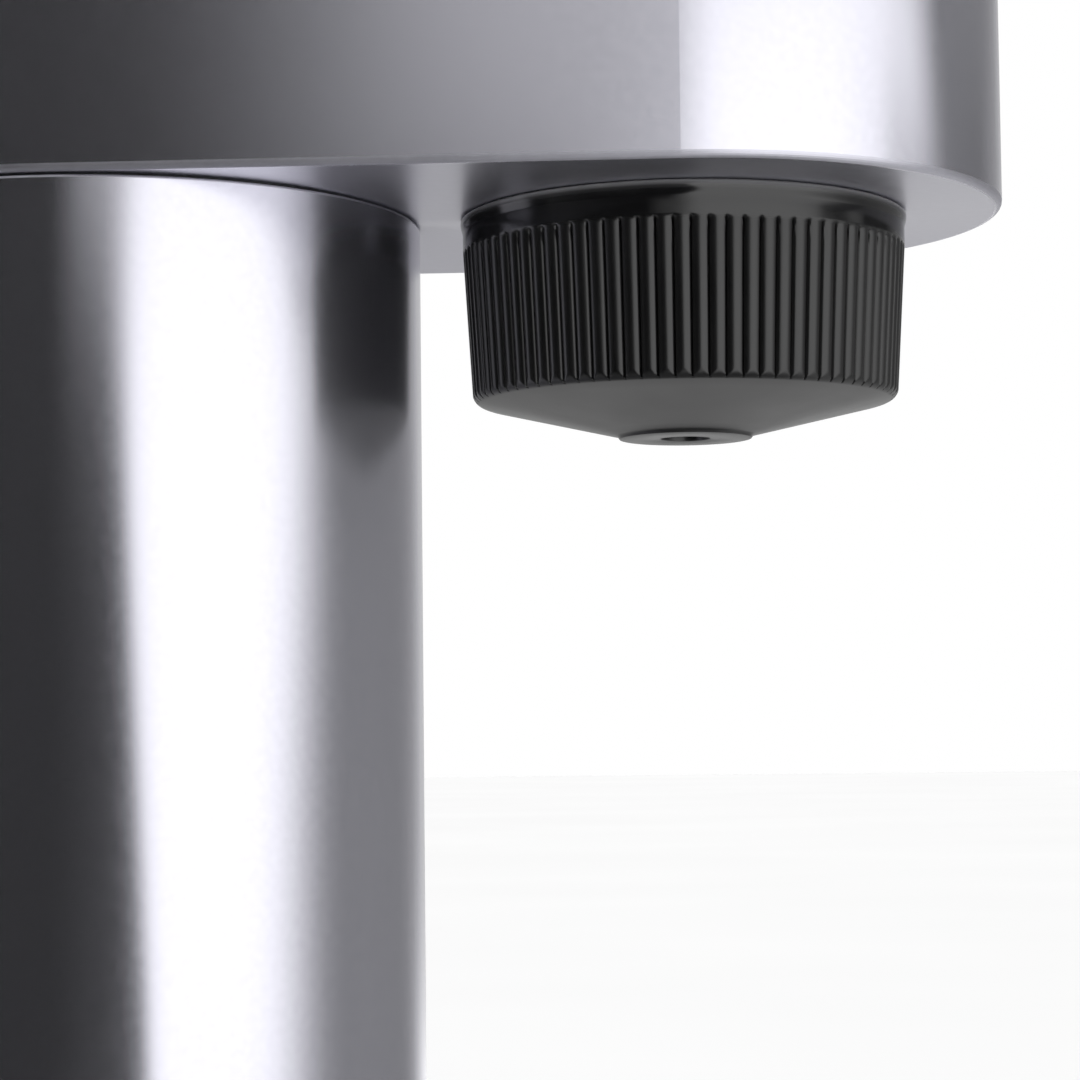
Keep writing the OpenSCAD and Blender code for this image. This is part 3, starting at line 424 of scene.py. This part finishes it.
def build_spring():
    """Return spring of the pump in round wire, coiled to fill the box of the CAD spring."""
    low, high = (Vector(corner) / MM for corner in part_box("pump_spring"))
    wire_r = SPRING_WIRE / 2
    middle = (low + high) / 2
    coil_r = (high.x - low.x) / 2 - wire_r
    rise = high.z - low.z - SPRING_WIRE
    sides = WIRE_SIDES
    rings = SPRING_TURNS * COIL_STEPS
    verts = []
    for i in range(rings + 1):
        a = i * 2 * math.pi / COIL_STEPS
        for k in range(sides):
            b = k * 2 * math.pi / sides
            r = coil_r + wire_r * math.cos(b)
            z = low.z + wire_r + rise * i / rings + wire_r * math.sin(b)
            verts.append((middle.x + r * math.cos(a), middle.y + r * math.sin(a), z))
    faces = [tuple(range(sides)), tuple(rings * sides + k for k in range(sides))]
    for i in range(rings):
        for k in range(sides):
            n = (k + 1) % sides
            faces.append((i * sides + k, i * sides + n, (i + 1) * sides + n, (i + 1) * sides + k))
    obj = mesh_object("return_spring", verts, faces, "steel", SHARP_SPRING)
    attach(obj, "housing")
    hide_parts("pump_spring")
    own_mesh(obj)


build_spring()


# Camera

def build_camera():
    yaw, pitch, roll = CAMERA_YAW, CAMERA_PITCH, CAMERA_ROLL
    fwd = Vector((math.sin(yaw) * math.cos(pitch), math.cos(yaw) * math.cos(pitch), math.sin(pitch)))
    right = Vector((math.cos(yaw), -math.sin(yaw), 0.0))
    up = right.cross(fwd)
    r2 = right * math.cos(roll) + up * math.sin(roll)
    u2 = up * math.cos(roll) - right * math.sin(roll)
    cam = bpy.data.cameras.new("camera")
    cam.sensor_width = CAMERA_SENSOR
    cam.sensor_fit = "HORIZONTAL"
    cam.lens = CAMERA_LENS
    cam.clip_start = 0.01
    cam.clip_end = 50.0
    obj = bpy.data.objects.new("camera", cam)
    m = Matrix((r2, u2, -fwd)).transposed().to_4x4()
    m.translation = Vector(CAMERA_AT) * MM
    obj.matrix_world = m
    bpy.context.scene.collection.objects.link(obj)
    bpy.context.scene.camera = obj


build_camera()


# Floor, light and background

def build_floor():
    mesh = bpy.data.meshes.new("floor")
    s = FLOOR_HALF
    mesh.from_pydata([(-s, -s, 0), (s, -s, 0), (s, s, 0), (-s, s, 0)], [], [(0, 1, 2, 3)])
    obj = bpy.data.objects.new("floor", mesh)
    obj.location.z = -FLOOR_DROP
    obj.visible_glossy = False
    bpy.context.scene.collection.objects.link(obj)
    mat, nt, bsdf = new_material("floor")
    tone = noise(nt, 3.0)
    nt.links.new(ramp(nt, tone, (0.93, 0.93, 0.93), (0.95, 0.95, 0.95)), bsdf.inputs["Base Color"])
    bsdf.inputs["Roughness"].default_value = 0.9
    bsdf.inputs["Specular IOR Level"].default_value = 0.0
    mesh.materials.append(mat)


def build_card():
    """White card on the right of the camera, seen only in reflections. Its left edge fades upward."""
    (x0, x1), (z0, z1) = CARD_X, CARD_Z
    mesh = bpy.data.meshes.new("white_card")
    mesh.from_pydata([(x0, 0, z0), (x1, 0, z0), (x1, 0, z1), (x0, 0, z1)], [], [(0, 3, 2, 1)])
    obj = bpy.data.objects.new("white_card", mesh)
    obj.location = CARD_AT
    obj.rotation_euler = (0.0, 0.0, math.radians(CARD_TURN))
    bpy.context.scene.collection.objects.link(obj)
    obj.visible_camera = False
    obj.visible_diffuse = False
    obj.visible_shadow = False
    mat = bpy.data.materials.new("white_card")
    mat.use_nodes = True
    nt = mat.node_tree
    nt.nodes.clear()
    out = nt.nodes.new("ShaderNodeOutputMaterial")
    glow = nt.nodes.new("ShaderNodeEmission")
    sep = nt.nodes.new("ShaderNodeSeparateXYZ")
    nt.links.new(object_coords(nt), sep.inputs["Vector"])
    across, height = sep.outputs["X"], sep.outputs["Z"]
    edge = map_range(nt, height, 0.03, 0.25, 0.121, 0.040, smooth=False)
    width = map_range(nt, height, 0.14, 0.27, 0.012, 0.110)
    start = math_node(nt, "SUBTRACT", across, edge)
    start = math_node(nt, "DIVIDE", start, width)
    start = map_range(nt, start, -1.0, 1.0, 0.0, 1.0)
    fade = curve(nt, across, [
        (-0.175, 0.0), (-0.145, 0.0), (-0.118, 0.035), (-0.092, 0.085), (-0.07, 0.165),
        (-0.04, 0.285), (-0.012, 0.37), (0.02, 0.37), (0.045, 0.36), (0.058, 0.38),
        (0.075, 0.54), (0.10, 0.85), (0.14, 1.0)])
    high = map_range(nt, height, 0.216, 0.238, 0.0, 1.0)
    blend = nt.nodes.new("ShaderNodeMix")
    nt.links.new(high, blend.inputs["Factor"])
    nt.links.new(start, blend.inputs["A"])
    nt.links.new(fade, blend.inputs["B"])
    right = curve(nt, height, [
        (-0.05, 0.45), (0.07, 0.455), (0.10, 0.468), (0.13, 0.485), (0.156, 0.50), (0.184, 0.525),
        (0.205, 0.51), (0.222, 0.43), (0.234, 0.42), (0.240, 0.625), (0.5, 0.625)])
    stop = curve(nt, math_node(nt, "SUBTRACT", across, right), [
        (-0.16, 1.0), (-0.107, 0.95), (-0.072, 0.83), (-0.025, 0.61), (0.03, 0.39), (0.09, 0.25),
        (0.16, 0.19), (0.315, 0.15)])
    level = math_node(nt, "MULTIPLY", blend.outputs["Result"], stop)
    at_band = curve(nt, height, [
        (0.0, 0.0), (0.208, 0.0), (0.216, 0.8), (0.234, 0.8), (0.239, 0.0), (0.5, 0.0)])
    dimmed = math_node(nt, "MULTIPLY", at_band, map_range(nt, across, 0.41, 0.45, 0.0, 1.0))
    level = math_node(nt, "MULTIPLY", level, math_node(nt, "SUBTRACT", 1.0, dimmed))
    above = math_node(nt, "MULTIPLY", map_range(nt, height, 0.268, 0.302, 0.0, 0.68),
                      map_range(nt, across, 0.06, 0.14, 0.0, 1.0))
    level = math_node(nt, "MULTIPLY", level, math_node(nt, "SUBTRACT", 1.0, above))
    level = math_node(nt, "MULTIPLY", level, CARD_LEVEL)
    nt.links.new(level, glow.inputs["Strength"])
    nt.links.new(glow.outputs["Emission"], out.inputs["Surface"])
    mesh.materials.append(mat)


def layer(nt, below, factor, level):
    """Light level that goes over to another one where the factor is 1."""
    rise = math_node(nt, "SUBTRACT", level, below)
    return math_node(nt, "ADD", below, math_node(nt, "MULTIPLY", rise, factor))


def build_world():
    """Bright dome above, pale walls, a pale table and a dark side left of the camera, which sees white."""
    world = bpy.data.worlds.new("studio")
    bpy.context.scene.world = world
    world.use_nodes = True
    nt = world.node_tree
    nt.nodes.clear()
    out = nt.nodes.new("ShaderNodeOutputWorld")
    co = nt.nodes.new("ShaderNodeTexCoord")
    sep = nt.nodes.new("ShaderNodeSeparateXYZ")
    nt.links.new(co.outputs["Generated"], sep.inputs["Vector"])
    x, y, z = (sep.outputs[k] for k in "XYZ")
    azimuth = math_node(nt, "ARCTAN2", x, math_node(nt, "MULTIPLY", y, -1.0))
    turn = math_node(nt, "MULTIPLY", azimuth, 180.0 / math.pi)
    walls = curve(nt, turn, [
        (-180, 0.66), (-174, 0.60), (-150, 0.46), (-120, 0.22), (-85, 0.15), (-48, 0.008), (45, 0.008),
        (95, 0.30), (120, 0.30), (140, 0.28), (152, 0.36), (162, 0.54), (170, 0.68), (176, 0.70),
        (180, 0.66)])
    behind = curve(nt, turn, [(-180, 1.0), (-160, 1.0), (-145, 0.0), (145, 0.0), (160, 1.0), (180, 1.0)])
    rise = curve(nt, z, [
        (-1.0, 1.1), (-0.32, 1.1), (-0.26, 0.7), (-0.225, 0.1), (-0.185, 0.2), (-0.159, 1.4), (-0.125, 2.1),
        (-0.09, 1.25), (-0.05, 1.0), (1.0, 1.0)])
    room = math_node(nt, "MULTIPLY", walls, layer(nt, 1.0, behind, rise))
    strip = curve(nt, z, [(-1.0, 0.0), (0.145, 0.0), (0.16, 1.0), (0.19, 1.0), (0.205, 0.0), (1.0, 0.0)])
    aside = curve(nt, turn, [(-180, 0.0), (78, 0.0), (88, 1.0), (130, 1.0), (142, 0.0), (180, 0.0)])
    room = layer(nt, room, math_node(nt, "MULTIPLY", strip, aside), STRIP_LEVEL)
    room = layer(nt, room, map_range(nt, z, -0.30, -0.60, 0.0, 1.0), LOW_LEVEL)
    near = curve(nt, turn, [(-180, 0.0), (-62, 0.0), (-50, 1.0), (50, 1.0), (62, 0.0), (180, 0.0)])
    near = math_node(nt, "MULTIPLY", near, map_range(nt, z, -0.34, -0.45, 0.0, 1.0))
    table = curve(nt, turn, [
        (-60, 0.15), (-20, 0.02), (-12.7, 0.02), (-10.3, 0.06), (-8.2, 0.16), (-6.1, 0.30), (-4.1, 0.48),
        (-2, 0.60), (1, 0.75), (6, 1.0), (45, 0.8), (60, 0.65)])
    room = layer(nt, room, near, table)
    room = layer(nt, room, map_range(nt, z, -0.72, -0.90, 0.0, 1.0), FOOT_LEVEL)
    room = layer(nt, room, map_range(nt, z, 0.50, 0.78, 0.0, 1.0), DOME_LEVEL)
    studio = nt.nodes.new("ShaderNodeBackground")
    nt.links.new(room, studio.inputs["Color"])
    white = nt.nodes.new("ShaderNodeBackground")
    white.inputs["Color"].default_value = (1.0, 1.0, 1.0, 1.0)
    path = nt.nodes.new("ShaderNodeLightPath")
    mix = nt.nodes.new("ShaderNodeMixShader")
    nt.links.new(path.outputs["Is Camera Ray"], mix.inputs["Fac"])
    nt.links.new(studio.outputs["Background"], mix.inputs[1])
    nt.links.new(white.outputs["Background"], mix.inputs[2])
    nt.links.new(mix.outputs["Shader"], out.inputs["Surface"])


build_floor()
build_card()
build_world()

bpy.context.scene.view_settings.view_transform = "Standard"
